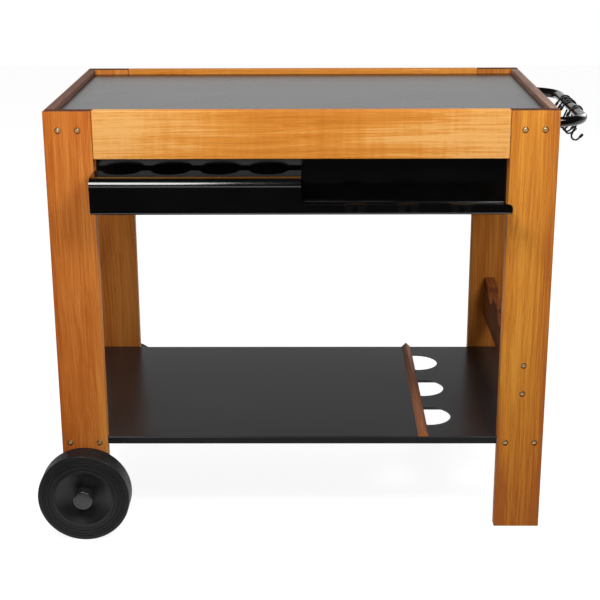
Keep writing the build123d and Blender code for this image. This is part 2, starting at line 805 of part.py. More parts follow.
def ear():
    """A pair of ears folded out over the lip, with a slot between them."""
    up_y, up_z = -sin(tray_slope), cos(tray_slope)
    inner_y = lip_y + tray_sheet / cos(tray_slope)
    centre = (inner_y - ear_bend * cos(tray_slope), tray_lip_level - ear_bend * sin(tray_slope))
    sweep_angle = 180 - ear_slope - degrees(tray_slope)
    foot_of_root = (inner_y - ear_bend * up_y, tray_lip_level - ear_bend * up_z)
    root = Line(foot_of_root, (inner_y, tray_lip_level))
    bend = CenterArc(centre, ear_bend, degrees(tray_slope), sweep_angle)
    end_angle = degrees(tray_slope) + sweep_angle
    fall = (-sin(radians(end_angle)) * ear_length, cos(radians(end_angle)) * ear_length)
    start = bend @ 1
    blade = Line(start, (start.X + fall[0], start.Y + fall[1]))
    half = ear_width / 2
    strip = bent_sheet(Curve() + [root, bend, blade], tray_sheet, Side.LEFT, -half, half)
    foot = start.Y + fall[1]
    slot_top = tray_lip_level - ear_bend / 2
    low = foot - tray_sheet
    mouth = ear_slot_mouth / 2
    neck = ear_slot / 2
    outline = ((-neck, slot_top), (neck, slot_top), (mouth, low), (-mouth, low), (-neck, slot_top))
    slot = make_face(Polyline(*outline))
    slot = fillet(slot.vertices().group_by(Axis.Y)[-1], neck / 2)
    shear = slot
    for end in (-1, 1):
        mid_z = (slot_top + foot) / 2
        shear += make_face(
            Polyline(
                (end * half, mid_z),
                (end * (half + tray_sheet), mid_z),
                (end * (half + tray_sheet), low),
                (end * (half - ear_taper), low),
                (end * half, mid_z),
            )
        )
    front = lip_y - tray_sheet / 4
    return strip - Pos(0, front, 0) * extrude(Plane.XZ * shear, ear_length + ear_bend + overrun)


def front_tray():
    body = tray_channel() - tray_step() - tray_bites()
    ears = ear()
    notch = block(
        -relief_width / 2,
        relief_width / 2,
        lip_y - overrun,
        lip_y + overrun,
        tray_lip_level - relief_depth,
        tray_lip_level + overrun,
    )
    for x in ear_xs:
        sides = [Pos(x + end * (ear_width + relief_width) / 2, 0, 0) * notch for end in (-1, 1)]
        body = body - sides + Pos(x, 0, 0) * ears
    hole = rod(screw_diameter + 2 * snug_fit, -overrun / 2, overrun / 2)
    return body - [Pos(x, tray_back_y, tray_screw_z) * to_back * hole for x in tray_screw_xs]


def tray_screws():
    return [
        Pos(x, tray_back_y, tray_screw_z) * to_back * screw(tray_screw_length) for x in tray_screw_xs
    ]


# Wheels, drawn with the leg's face at Z = 0 and the outward side on +Z
tyre_face = tyre_gap + tyre_width
hub_back = washer_thickness + wheel_end_play
hub_face = tyre_face + rim_proud
clip_low = hub_face + wheel_end_play
axle_end = clip_low + clip_thickness + clip_set_back


def tyre():
    """A solid tyre with rounded shoulders, a grooved tread and ribbed side walls."""
    depth = wheel_radius - tyre_seat_radius
    centre = tyre_gap + tyre_width / 2
    middle = Pos((wheel_radius + tyre_seat_radius) / 2, centre)
    section = middle * Rectangle(depth, tyre_width)
    section = fillet(section.vertices().group_by(Axis.X)[-1], tyre_shoulder)
    for radius in tyre_groove_radii:
        for face in (tyre_gap, tyre_face):
            section -= Pos(radius, face) * Circle(tyre_groove)
    for step in tread_groove_steps:
        section -= Pos(wheel_radius, centre + step) * Circle(tread_groove)
    return revolve(Plane.XZ * section, Axis.Z)


def hub():
    """Rim, dished web and sleeve in one moulding, with ribs behind the web."""
    bore = axle_diameter / 2 + axle_running_fit
    seat = tyre_seat_radius - snug_fit
    rim_inner = seat - rim_wall
    hub_depth = hub_face - dish_hub_depth
    sleeve = Pos((bore + sleeve_radius) / 2, (hub_back + hub_face) / 2)
    sleeve = sleeve * Rectangle(sleeve_radius - bore, hub_face - hub_back)
    rim = Pos(seat - rim_wall / 2, (tyre_gap + hub_face) / 2) * Rectangle(rim_wall, hub_face - tyre_gap)
    rim = fillet(rim.vertices().group_by(Axis.Y)[-1], rim_proud / 2)
    middle = (sleeve_radius + rim_inner) / 2
    outer_z = (hub_depth + hub_face - rim_proud) / 2 - dish_swell
    front = ThreePointArc((sleeve_radius, hub_depth), (middle, outer_z), (rim_inner, tyre_face))
    back = ThreePointArc(
        (rim_inner, tyre_face - dish_wall),
        (middle, outer_z - dish_wall),
        (sleeve_radius, hub_depth - dish_wall),
    )
    web = make_face(Curve() + [front, Line(front @ 1, back @ 0), back, Line(back @ 1, front @ 0)])
    body = revolve(Plane.XZ * (sleeve + rim + web), Axis.Z)
    low = tyre_gap + tyre_width / 4
    root = sleeve_radius - dish_wall / 2
    tip = rim_inner + rim_wall / 2
    rib_face = make_face(
        Polyline(
            (root, low),
            (tip, low),
            (tip, tyre_face - dish_wall / 2),
            (middle, outer_z - dish_wall / 2),
            (root, hub_depth - dish_wall / 2),
            (root, low),
        )
    )
    rib = extrude(Plane.XZ * rib_face, wheel_rib_width / 2, both=True)
    return body + [Rot(0, 0, 360 * i / wheel_rib_count) * rib for i in range(wheel_rib_count)]


def hub_cap():
    """A shallow round cup pressed over the hub's sleeve."""
    radius = cap_diameter / 2
    top = axle_end + cap_air + cap_wall
    low = hub_face - dish_hub_depth + cap_wall
    shell = rod(cap_diameter, low, top)
    shell = fillet(shell.edges().sort_by(Axis.Z)[-1], cap_round)
    shell -= rod(2 * (sleeve_radius + snug_fit), low - overrun, hub_face + snug_fit)
    shell -= rod(2 * (radius - cap_wall), hub_face, top - cap_wall)
    ring = rod(cap_ring_diameter, top - cap_ring_depth, top + overrun)
    ring -= rod(cap_ring_diameter - 2 * cap_ring_width, top - cap_ring_depth, top + overrun)
    return shell - ring


def wheel_places():
    """Front and back wheel positions, each facing outwards."""
    return {
        "front": Pos(wheel_x, 0, wheel_radius) * to_front,
        "rear": Pos(wheel_x, carcass_depth, wheel_radius) * to_back,
    }


def axle():
    """One steel rod through both left legs and both wheels."""
    body = rod(axle_diameter, -axle_end, carcass_depth + axle_end)
    body = chamfer(body.edges(), axle_chamfer)
    return Pos(wheel_x, 0, wheel_radius) * to_back * body


def axle_washers():
    ring = rod(washer_diameter, 0, washer_thickness)
    ring -= rod(axle_diameter + 2 * snug_fit, -overrun, overrun)
    return [place * ring for place in wheel_places().values()]


def axle_clips():
    """Push-on clips that keep the wheels on the axle, under the hub caps."""
    ring = rod(clip_diameter, clip_low, clip_low + clip_thickness)
    ring -= rod(axle_diameter + 2 * snug_fit, clip_low - overrun, clip_low + overrun)
    return [place * ring for place in wheel_places().values()]


# Handle
def handle():
    """A U-shaped tube whose ends butt against the right top bearer."""
    path = FilletPolyline(
        (half_length, bar_front_y, handle_level),
        (bar_x, bar_front_y, handle_level),
        (bar_x, bar_back_y, handle_level),
        (half_length, bar_back_y, handle_level),
        radius=handle_bend,
    )
    ring = Circle(tube_radius) - Circle(tube_radius - tube_wall)
    return sweep(Plane(path @ 0, z_dir=path % 0) * ring, path)


def handle_plugs():
    """Threaded plugs inside the ends of the tube."""
    plug = rod(2 * (tube_radius - tube_wall - snug_fit), 0, plug_length)
    plug = chamfer(plug.edges(), plug_chamfer)
    plug -= rod(hanger_diameter + 2 * snug_fit, -overrun, plug_length + overrun)
    return [Pos(half_length, y, handle_level) * to_right * plug for y in hanger_ys]


def handle_hanger_bolts():
    """Hanger bolts, wood thread one end, that hold the handle to the bearer."""
    pin = rod(hanger_diameter, -hanger_in_wood, hanger_in_tube)
    pin = chamfer(pin.edges(), plug_chamfer)
    return [Pos(half_length, y, handle_level) * to_right * pin for y in hanger_ys]


# Hooks
hook_eye_radius = tube_radius + hook_play + hook_wire / 2
hook_cross = degrees(asin((hook_eye_radius + hook_mouth_radius) / hook_drop))


def hook_lines():
    """The line of an S hook: an eye over the bar at the origin, a mouth below it, two tips."""
    eye = CenterArc((0, 0), hook_eye_radius, -hook_cross, hook_eye_angle + hook_cross)
    low = (0, -hook_drop)
    turn = hook_mouth_angle - 180 + hook_cross
    mouth = CenterArc(low, hook_mouth_radius, 180 - hook_cross, turn)
    shank = Line(mouth @ 0, eye @ 0)
    eye_tip = Line(eye @ 1, eye @ 1 + (eye % 1) * hook_eye_tip)
    mouth_tip = Line(mouth @ 1, mouth @ 1 + (mouth % 1) * hook_mouth_tip)
    return eye_tip, eye, shank, mouth, mouth_tip


def hook_sleeve(line):
    """A soft round-ended sleeve over one tip of the wire."""
    tip = Plane.XZ * line
    body = rod(hook_sleeve_diameter, -hook_sleeve_cover, hook_sleeve_length - hook_sleeve_cover)
    body = fillet(body.edges().sort_by(Axis.Z)[-1], hook_sleeve_diameter / 2 - snug_fit)
    body -= rod(hook_wire + 2 * snug_fit, -hook_sleeve_cover - overrun, snug_fit)
    return Plane(tip @ 1, z_dir=tip % 1).location * body


def hook_pieces():
    """Wire and sleeves of one hook, turned to hang at rest from the origin."""
    lines = hook_lines()
    path = Plane.XZ * Wire([edge for line in lines for edge in line.edges()])
    wire = sweep(Plane(path @ 0, z_dir=path % 0) * Circle(hook_wire / 2), path)
    pieces = [wire, hook_sleeve(lines[0]), hook_sleeve(lines[-1])]
    weights = [piece.volume for piece in pieces]
    centres = [piece.center(CenterOf.MASS) for piece in pieces]
    off = sum(w * c.X for w, c in zip(weights, centres))
    down = -sum(w * c.Z for w, c in zip(weights, centres))
    settle = Rot(0, degrees(atan2(off, down)), 0)
    return [settle * piece for piece in pieces]


# The whole cart, node by node
wheels = wheel_places()
nodes = {
    "leg_front_left": [leg(-1, -1, left_leg_rise)],
    "leg_back_left": [leg(-1, 1, left_leg_rise)],
    "leg_front_right": [leg(1, -1, 0)],
    "leg_back_right": [leg(1, 1, 0)],
    "front_rail": [front_rail()],
    "back_rail": [back_rail()],
    "top_bearer_left": [top_bearer(-1)],
    "top_bearer_right": [top_bearer(1)],
    "edge_strip_left": [edge_strip(-1)],
    "edge_strip_right": [edge_strip(1)],
    "top_mid_bearer": [top_mid_bearer()],
    "top_panel": [top_panel()],
    "panel_stiffeners": panel_stiffeners(),
    "panel_studs": studs(panel_under, bearer_bottom),
    "lower_shelf": [lower_shelf()],
    "shelf_stiffeners": shelf_stiffeners(),
    "shelf_bearer_left": [shelf_bearer(-1)],
    "shelf_bearer_right": [shelf_bearer(1)],
    "shelf_studs": studs(shelf_under, shelf_bearer_bottom),
    "stud_nuts": stud_nuts(bearer_bottom) + stud_nuts(shelf_bearer_bottom),
    "bottle_batten": [bottle_batten()],
    "batten_screws": batten_screws(),
    "bottle_rack": [bottle_rack()],
    "front_tray": [front_tray()],
    "tray_screws": tray_screws(),
    "leg_bolts": bolt_group(top_bolts + shelf_bolts + rack_bolts),
    "barrel_nuts": nut_group(top_bolts + shelf_bolts, upright) + nut_group(rack_bolts, lying),
    "rail_dowels": [place * dowel() for place in rail_dowel_places()],
    "corner_brackets": corner_brackets(),
    "bracket_screws": bracket_screws(),
    "strip_screws": strip_screws(),
    "axle": [axle()],
    "axle_washers": axle_washers(),
    "axle_clips": axle_clips(),
    "handle": [handle()],
    "handle_plugs": handle_plugs(),
    "handle_hanger_bolts": handle_hanger_bolts(),
}
for name, place in wheels.items():
    nodes[f"wheel_tyre_{name}"] = [place * tyre()]
    nodes[f"wheel_hub_{name}"] = [place * hub()]
    nodes[f"hub_cap_{name}"] = [place * hub_cap()]
hook_wire_solid, *hook_sleeve_solids = hook_pieces()
for rank, along in enumerate(hook_places, start=1):
    place = Pos(bar_x, bar_front_y + along, handle_level)
    nodes[f"hook_{rank}"] = [place * hook_wire_solid]
    nodes[f"hook_sleeves_{rank}"] = [place * sleeve for sleeve in hook_sleeve_solids]

# The origin goes to the bottom centre of the whole, on the ground
pieces = [piece for group in nodes.values() for piece in group]
whole = Compound(children=[solid for piece in pieces for solid in piece.solids()])
reach = whole.bounding_box()
shift = Pos(-(reach.min.X + reach.max.X) / 2, -(reach.min.Y + reach.max.Y) / 2, -reach.min.Z)

os.makedirs("parts", exist_ok=True)
for name, group in nodes.items():
    solids = [shift * solid for piece in group for solid in piece.solids()]
    export_step(Compound(children=solids) if len(solids) > 1 else solids[0], f"parts/{name}.step")
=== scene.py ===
import bpy
from math import atan2, cos, hypot, pi, radians, sin
from mathutils import Matrix, Vector


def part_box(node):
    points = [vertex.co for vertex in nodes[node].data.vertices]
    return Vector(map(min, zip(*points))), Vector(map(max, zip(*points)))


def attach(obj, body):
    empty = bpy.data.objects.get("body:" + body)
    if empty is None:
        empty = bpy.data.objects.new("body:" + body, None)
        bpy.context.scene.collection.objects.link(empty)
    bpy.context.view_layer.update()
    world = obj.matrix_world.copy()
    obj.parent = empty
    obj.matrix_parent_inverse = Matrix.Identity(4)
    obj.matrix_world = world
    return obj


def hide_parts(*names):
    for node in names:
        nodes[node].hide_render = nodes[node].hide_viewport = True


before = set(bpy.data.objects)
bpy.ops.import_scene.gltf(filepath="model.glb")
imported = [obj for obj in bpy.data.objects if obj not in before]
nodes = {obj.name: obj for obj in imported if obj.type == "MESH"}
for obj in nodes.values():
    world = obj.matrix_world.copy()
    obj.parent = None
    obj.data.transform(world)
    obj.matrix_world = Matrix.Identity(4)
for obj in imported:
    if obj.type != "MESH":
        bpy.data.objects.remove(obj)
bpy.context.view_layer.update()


# Camera

camera_lens = 80.66
camera_sensor = 36.0
camera_reach = 100.0
camera_pitch = radians(17.785)
camera_yaw = radians(-0.519)
camera_roll = radians(0.218)
camera_from_right_leg = Vector((-0.401216, -2.677438, 1.383482))


def add_camera():
    """The photograph's view, measured from the front right leg's lowest corner."""
    data = bpy.data.cameras.new("camera")
    data.lens = camera_lens
    data.sensor_width = camera_sensor
    data.clip_end = camera_reach
    camera = bpy.data.objects.new("camera", data)
    bpy.context.scene.collection.objects.link(camera)
    forward = Vector((
        sin(camera_yaw) * cos(camera_pitch),
        cos(camera_yaw) * cos(camera_pitch),
        -sin(camera_pitch),
    ))
    right = Vector((cos(camera_yaw), -sin(camera_yaw), 0.0))
    down = forward.cross(right)
    rolled_right = right * cos(camera_roll) + down * sin(camera_roll)
    rolled_down = down * cos(camera_roll) - right * sin(camera_roll)
    turn = Matrix((rolled_right, -rolled_down, -forward)).transposed()
    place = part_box("leg_front_right")[0] + camera_from_right_leg
    camera.matrix_world = Matrix.Translation(place) @ turn.to_4x4()
    bpy.context.scene.camera = camera


# Colours

screen_steps = 255.0
curve_knee = 0.04045
curve_slope = 12.92
curve_lift = 0.055
curve_power = 2.4
white = (1.0, 1.0, 1.0, 1.0)


def tone(red, green, blue):
    """A colour written as it looks on screen, turned into the linear colour a shader takes."""
    linear = []
    for part in (red, green, blue):
        part = part / screen_steps
        if part <= curve_knee:
            linear.append(part / curve_slope)
        else:
            linear.append(((part + curve_lift) / (1 + curve_lift)) ** curve_power)
    return (*linear, 1.0)


def lighter(colour, gain, lift):
    """The same linear colour, brighter by a factor and a small amount."""
    return tuple(min(1.0, part * gain + lift) for part in colour[:3]) + (1.0,)


# Node graphs


class Graph:
    """A node tree, with short calls for the nodes used here."""

    def __init__(self, tree):
        self.tree = tree
        tree.nodes.clear()

    def add(self, kind, **settings):
        """A new node, with the settings given by name."""
        node = self.tree.nodes.new(kind)
        for key, value in settings.items():
            setattr(node, key, value)
        return node

    def link(self, source, target):
        """Runs an output into a socket."""
        self.tree.links.new(source, target)

    def feed(self, socket, value):
        """Puts a number, a colour or another node's output on a socket."""
        if isinstance(value, bpy.types.NodeSocket):
            self.link(value, socket)
        else:
            socket.default_value = value

    def place(self):
        """The point on the surface, in the part's own frame, in metres."""
        return self.add("ShaderNodeTexCoord").outputs["Object"]

    def normal(self):
        """The surface's direction, in the part's own frame."""
        return self.add("ShaderNodeTexCoord").outputs["Normal"]

    def axes(self, vector):
        """The three numbers of a vector."""
        node = self.add("ShaderNodeSeparateXYZ")
        self.link(vector, node.inputs[0])
        return dict(zip("XYZ", node.outputs))

    def stretch(self, vector, scale):
        """A vector with each axis multiplied by its own number."""
        node = self.add("ShaderNodeMapping")
        self.link(vector, node.inputs["Vector"])
        node.inputs["Scale"].default_value = scale
        return node.outputs[0]

    def noise(self, vector, scale=1.0, detail=2.0, rough=0.5, bend=0.0, colour=False):
        """Soft noise around a half, or three noises at once as a colour."""
        node = self.add("ShaderNodeTexNoise")
        self.link(vector, node.inputs["Vector"])
        node.inputs["Scale"].default_value = scale
        node.inputs["Detail"].default_value = detail
        node.inputs["Roughness"].default_value = rough
        node.inputs["Distortion"].default_value = bend
        return node.outputs[1 if colour else 0]

    def cells(self, vector, scale=1.0, colour=False):
        """Scattered cells: the distance to the nearest centre, or a random colour for each."""
        node = self.add("ShaderNodeTexVoronoi")
        self.link(vector, node.inputs["Vector"])
        node.inputs["Scale"].default_value = scale
        return node.outputs["Color" if colour else "Distance"]

    def maths(self, operation, first, second=0.0, third=0.0):
        """A sum on numbers or outputs."""
        node = self.add("ShaderNodeMath", operation=operation)
        self.feed(node.inputs[0], first)
        self.feed(node.inputs[1], second)
        self.feed(node.inputs[2], third)
        return node.outputs[0]

    def add_up(self, start, *terms):
        """A number plus each (value, factor) pair."""
        total = start
        for value, factor in terms:
            total = self.maths("MULTIPLY_ADD", value, factor, total)
        return total

    def vector_maths(self, operation, first, second=None, scale=None):
        """A sum on vectors, which gives a number for a length or a dot product."""
        node = self.add("ShaderNodeVectorMath", operation=operation)
        self.feed(node.inputs[0], first)
        if second is not None:
            self.feed(node.inputs[1], second)
        if scale is not None:
            self.feed(node.inputs["Scale"], scale)
        return node.outputs["Value" if operation in ("LENGTH", "DOT_PRODUCT") else "Vector"]

    def span(self, value, from_low, from_high, to_low=0.0, to_high=1.0, smooth=True):
        """Turns one range of numbers into another, held at its ends."""
        node = self.add("ShaderNodeMapRange")
        node.interpolation_type = "SMOOTHSTEP" if smooth else "LINEAR"
        self.feed(node.inputs["Value"], value)
        node.inputs["From Min"].default_value = from_low
        node.inputs["From Max"].default_value = from_high
        node.inputs["To Min"].default_value = to_low
        node.inputs["To Max"].default_value = to_high
        return node.outputs[0]

    def ramp(self, value, places, colours):
        """A colour from a number, which takes each colour at its place."""
        node = self.add("ShaderNodeValToRGB")
        self.link(value, node.inputs[0])
        elements = node.color_ramp.elements
        while len(elements) < len(places):
            elements.new(0.5)
        for element, where, colour in zip(elements, places, colours):
            element.position = where
            element.color = colour
        return node.outputs[0]

    def blend(self, factor, first, second):
        """The first colour at a factor of nought, the second at one."""
        node = self.add("ShaderNodeMix", data_type="RGBA")
        self.feed(node.inputs[0], factor)
        self.feed(node.inputs[6], first)
        self.feed(node.inputs[7], second)
        return node.outputs[2]

    def bump(self, height, distance, strength):
        """A surface direction bent by a height, which spans the distance in metres."""
        node = self.add("ShaderNodeBump")
        self.link(height, node.inputs["Height"])
        node.inputs["Strength"].default_value = strength
        node.inputs["Distance"].default_value = distance
        return node.outputs[0]

    def rays(self):
        """One or nought for what the camera sees straight, and for what gloss or glass sees."""
        path = self.add("ShaderNodeLightPath").outputs
        mirrored = self.maths("MAXIMUM", path["Is Glossy Ray"], path["Is Transmission Ray"])
        return path["Is Camera Ray"], mirrored


class Surface(Graph):
    """One material's node tree around a principled shader."""

    def __init__(self, name):
        self.material = bpy.data.materials.new(name)
        self.material.use_nodes = True
        super().__init__(self.material.node_tree)
        self.shader = self.add("ShaderNodeBsdfPrincipled")
        self.output = self.add("ShaderNodeOutputMaterial")
        self.link(self.shader.outputs[0], self.output.inputs[0])

    def finish(self, **values):
        """Sets the shader's sockets by name, with underscores for spaces."""
        for key, value in values.items():
            self.feed(self.shader.inputs[key.replace("_", " ")], value)
        return self.material


def paint(material, *names):
    """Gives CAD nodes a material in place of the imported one."""
    for name in names:
        mesh = nodes[name].data
        mesh.materials.clear()
        mesh.materials.append(material)


# Wood

# Cells a metre, along the grain and across it
wander_cells = (1.7, 5.0)
jitter_cells = (1.0, 24.0)
fibre_cells = (6.0, 390.0)
streak_cells = (1.7, 78.0)
patch_cells = (1.3, 12.0)
pore_cells = (44.0, 1500.0)
ripple_cells = (64.0, 8.0)
knot_cells = (2.6, 11.0)
end_cells = 620.0

# Where a board's seed cuts it from the endless wood: steps for X, Y and Z, and their starts
cut_steps = (1.7, 2.3, 1.1)
cut_starts = (0.0, 4.0, -3.0)

# The tree's heart beside the board, and its growth rings, in metres
usual_heart = (0.09, 0.05)
wander_reach = 0.034
ring_pitch = 0.0085
ring_jitter = 16.0
ring_sharpness = 2.2

# Weights in a board's tone, and the places of its four colours from dark to pale
streak_weight = 0.6
patch_weight = 0.75
fibre_weight = 0.85
ring_weight = -0.045
middle_tone = 0.5
tone_places = (0.24, 0.46, 0.66, 0.92)

# Pores and knots: the noise over which each begins, and how far a pore darkens
pore_edge = (0.6, 0.72)
pore_shade = 0.84
knot_edge = (0.04, 0.3)
knot_patch = (0.42, 0.6)

# Sawn ends: how squarely a face has to point along the grain, and what its tone is made of
end_facing = (0.55, 0.95)
end_start = 0.18
end_fleck_weight = 0.8
end_ring_weight = -0.22
end_places = (0.3, 0.7)

# Relief and dullness of pores, fibres and sawn ends
pore_height = -0.8
fibre_height = 0.5
grain_relief = 0.0002
grain_relief_strength = 0.5
fibre_dull = 0.14
pore_dull = 0.15
end_dull = 0.18


def along(grain, lengthwise, across):
    """Numbers for X, Y and Z of a board whose grain runs along one of them."""
    return tuple(lengthwise if axis == grain else across for axis in "XYZ")


def wood(name, grain, seed, tones, ends, heart=usual_heart, figure=0.0, knots=0.0, gloss=0.5,
         shine=0.06, drift=()):
    """Planed and oiled hardwood, cut as one solid block so that faces, edges and ends agree."""
    g = Surface(name)
    cross = along(grain, 0.0, 1.0)
    here = g.place()
    cut = Vector([seed * step + start for step, start in zip(cut_steps, cut_starts)])
    point = g.vector_maths("ADD", here, tuple(cut))
    wander = g.noise(g.stretch(point, along(grain, *wander_cells)), colour=True)
    wander = g.vector_maths("SUBTRACT", wander, (0.5, 0.5, 0.5))
    wander = g.vector_maths("MULTIPLY", wander, along(grain, 0.0, wander_reach))
    bent = g.vector_maths("ADD", point, wander)

    def grained(cells, **settings):
        """Noise that is drawn out along the grain."""
        return g.noise(g.stretch(bent, along(grain, *cells)), **settings)

    offsets = iter(heart)
    centre = tuple(-part - next(offsets) if c else 0.0 for part, c in zip(cut, cross))
    spoke = g.vector_maths("ADD", g.vector_maths("MULTIPLY", bent, cross), centre)
    radius = g.vector_maths("LENGTH", spoke)
    jitter = g.maths("MULTIPLY", grained(jitter_cells), ring_jitter)
    phase = g.maths("MULTIPLY_ADD", radius, 2 * pi / ring_pitch, jitter)
    ring = g.maths("MULTIPLY_ADD", g.maths("SINE", phase), 0.5, 0.5)
    ring = g.maths("POWER", ring, ring_sharpness)

    fibre = grained(fibre_cells, detail=3.0, rough=0.62)
    streak = grained(streak_cells, detail=3.0, rough=0.6)
    patch = grained(patch_cells)
    pore = g.span(grained(pore_cells, detail=1.0), *pore_edge)
    weights = ((streak, streak_weight), (patch, patch_weight), (fibre, fibre_weight))
    start = middle_tone - (streak_weight + patch_weight + fibre_weight) / 2
    body = g.add_up(start, *weights, (ring, ring_weight))
    if figure:
        ripple = g.noise(g.stretch(point, along(grain, *ripple_cells)), bend=0.4)
        body = g.add_up(body, (g.maths("SUBTRACT", ripple, 0.5), figure))
    # Slow drifts of tone along an axis; the right leg's darker foot is painted shade and the rail's
    # paler ends are a painted sheen
    for axis, *ranges in drift:
        body = g.maths("ADD", body, g.span(g.axes(here)[axis], *ranges, smooth=False))
    colour = g.ramp(body, tone_places, tones)

    shade = g.span(pore, 0.0, 1.0, 1.0, pore_shade, smooth=False)
    if knots:
        spot = g.cells(g.stretch(bent, along(grain, *knot_cells)))
        core = g.span(spot, *knot_edge, 1.0, 0.0)
        mark = g.maths("MULTIPLY", core, g.span(patch, *knot_patch, 1.0, 0.0))
        shade = g.maths("MULTIPLY", shade, g.span(mark, 0.0, 1.0, 1.0, 1.0 - knots, smooth=False))
    colour = g.vector_maths("SCALE", colour, scale=shade)
    end = g.vector_maths("DOT_PRODUCT", g.normal(), along(grain, 1.0, 0.0))
    end = g.span(g.maths("ABSOLUTE", end), *end_facing)
    fleck = g.noise(bent, end_cells)
    end_tone = g.add_up(end_start, (fleck, end_fleck_weight), (ring, end_ring_weight))
    colour = g.blend(end, colour, g.ramp(end_tone, end_places, ends))

    relief = g.add_up(0.0, (pore, pore_height), (fibre, fibre_height))
    dull = ((fibre, fibre_dull), (pore, pore_dull), (end, end_dull))
    return g.finish(
        Base_Color=colour,
        Roughness=g.add_up(gloss - fibre_dull / 2, *dull),
        Specular_IOR_Level=shine,
        Normal=g.bump(relief, grain_relief, grain_relief_strength),
    )


# Four colours of each wood, from dark to pale
leg_left_tones = (tone(186, 94, 34), tone(204, 112, 44), tone(220, 132, 58), tone(236, 156, 78))
leg_right_tones = (tone(188, 106, 46), tone(216, 134, 50), tone(236, 156, 60), tone(246, 176, 78))
back_left_tones = (tone(192, 108, 44), tone(212, 128, 56), tone(228, 146, 68), tone(240, 164, 84))
back_right_tones = (tone(170, 94, 34), tone(190, 112, 44), tone(206, 130, 56), tone(220, 148, 70))
rail_tones = (tone(202, 120, 40), tone(216, 134, 50), tone(230, 150, 62), tone(248, 184, 106))
strip_tones = (tone(96, 54, 34), tone(122, 74, 50), tone(142, 92, 66), tone(160, 110, 82))
# A paler copy of the strip wood for the right edge strip: a painted sheen on its top
painted_sheen_strip_tones = (tone(90, 60, 46), tone(138, 98, 78), tone(170, 128, 106), tone(200, 158, 134))
batten_tones = (tone(104, 60, 38), tone(148, 90, 58), tone(178, 112, 74), tone(204, 138, 96))
rack_tones = (tone(112, 62, 28), tone(136, 78, 38), tone(156, 92, 46), tone(176, 112, 60))
bearer_tones = (tone(120, 70, 40), tone(142, 88, 54), tone(160, 106, 68), tone(178, 126, 86))
dowel_tones = (tone(188, 146, 98), tone(202, 162, 114), tone(214, 178, 130), tone(226, 192, 148))
brown_ends = (tone(70, 40, 26), tone(112, 70, 48))
orange_ends = (tone(150, 82, 34), tone(206, 128, 62))

# Slow changes of tone over a piece, darker below nought and paler above it; the right leg's darker
# foot is painted shade, and the rail's paler ends are a painted sheen
leg_left_change = (-0.14, 0.2)
leg_right_narrow_stave = 0.3
leg_right_narrow_change = (-0.2, 0.0)
leg_right_wide_change = (0.08, -0.14)
# The right leg darkens towards its foot: painted shade where the light falls off towards the floor
leg_right_foot_shade_height = 0.35
leg_right_foot_painted_shade = (-0.28, 0.0)
# The front rail turns paler towards both ends: a painted sheen
rail_sheen_reach = 0.34
rail_left_painted_sheen = (0.4, 0.0)
rail_right_painted_sheen = (0.0, 0.34)


def dress_wood():
    """Legs, rails, bearers, strips, batten, bottle board and dowels, each cut by its own seed."""
    low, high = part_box("leg_front_left")
    left_drift = [("X", low.x, high.x, *leg_left_change)]
    paint(wood("wood_leg_front_left", "Z", 1.3, leg_left_tones, brown_ends, drift=left_drift),
          "leg_front_left")
    low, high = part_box("leg_front_right")
    seam = low.x + leg_right_narrow_stave * (high.x - low.x)
    right_drift = [
        ("X", low.x, seam, *leg_right_narrow_change),
        ("X", seam, high.x, *leg_right_wide_change),
        # Painted shade: the leg darkens towards the floor
        ("Z", low.z, low.z + leg_right_foot_shade_height, *leg_right_foot_painted_shade),
    ]
    paint(wood("wood_leg_front_right", "Z", 2.9, leg_right_tones, brown_ends, heart=(-0.1, 0.06),
               drift=right_drift), "leg_front_right")
    paint(wood("wood_leg_back_left", "Z", 4.1, back_left_tones, brown_ends, heart=(0.12, 0.03),
               knots=0.2), "leg_back_left")
    paint(wood("wood_leg_back_right", "Z", 5.7, back_right_tones, brown_ends, heart=(-0.08, 0.07),
               knots=0.2), "leg_back_right")
    low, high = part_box("front_rail")
    # Painted sheen: the front rail turns paler towards its ends
    rail_sheen_drift = [
        ("X", low.x, low.x + rail_sheen_reach, *rail_left_painted_sheen),
        ("X", high.x - rail_sheen_reach, high.x, *rail_right_painted_sheen),
    ]
    paint(wood("wood_front_rail", "X", 7.2, rail_tones, orange_ends, figure=0.3, drift=rail_sheen_drift),
          "front_rail")
    paint(wood("wood_back_rail", "X", 8.6, rail_tones, orange_ends, figure=0.2), "back_rail")
    paint(wood("wood_edge_left", "Y", 9.4, strip_tones, brown_ends, shine=0.5), "edge_strip_left")
    # The right strip's paler tones are a painted sheen
    paint(wood("wood_edge_right", "Y", 10.8, painted_sheen_strip_tones, brown_ends, shine=0.9),
          "edge_strip_right")
    paint(wood("wood_bearer", "Y", 12.5, bearer_tones, brown_ends, gloss=0.6),
          "top_bearer_left", "top_bearer_right", "top_mid_bearer",
          "shelf_bearer_left", "shelf_bearer_right")
    paint(wood("wood_batten", "Y", 13.7, batten_tones, orange_ends, shine=0.12), "bottle_batten")
    paint(wood("wood_rack", "Y", 15.1, rack_tones, brown_ends, gloss=0.7, shine=0.02), "bottle_rack")
    paint(wood("wood_dowel", "X", 16.4, dowel_tones, orange_ends, gloss=0.6), "rail_dowels")


# Coated steel

wipe_cells = (7.0, 16.0, 11.0)
wipe_edge = (0.35, 0.7)
wipe_range = (0.3, 0.75)
wiped_gain = 1.5
wiped_lift = 0.004
dust_cells = 1300.0
dust_edge = (0.66, 0.78)
dust_gain = 2.2
dust_lift = 0.02
peel_strength = 0.7


